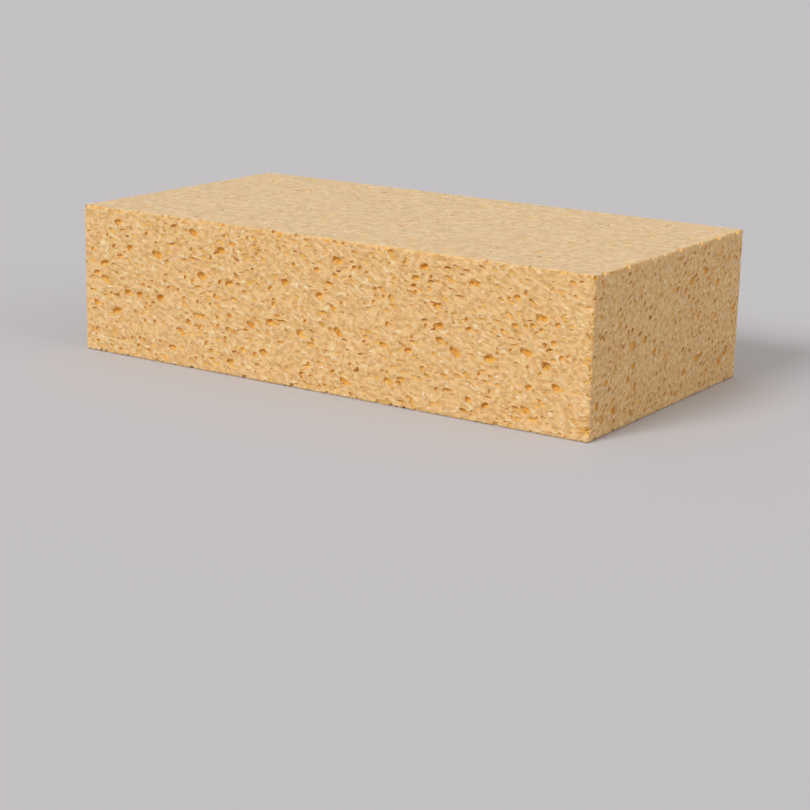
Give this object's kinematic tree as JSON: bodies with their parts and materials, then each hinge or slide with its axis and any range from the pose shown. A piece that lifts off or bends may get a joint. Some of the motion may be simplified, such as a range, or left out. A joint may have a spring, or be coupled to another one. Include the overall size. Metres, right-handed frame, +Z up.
{
  "type": "cleaning sponge",
  "caption": "Large rectangular cellulose cleaning sponge, a sawn block of pale yellow foam with open pores in all of its faces.",
  "frame": {"origin": "middle of the large face that the sponge lies on", "axes": "+X along the length, +Y across the width, +Z up through the thickness"},
  "size_m": [0.195, 0.104, 0.05],
  "materials": {
    "cellulose_foam": "matte open-pored foam"
  },
  "bodies": {
    "root": {"sponge": "cellulose_foam"}
  },
  "joints": []
}
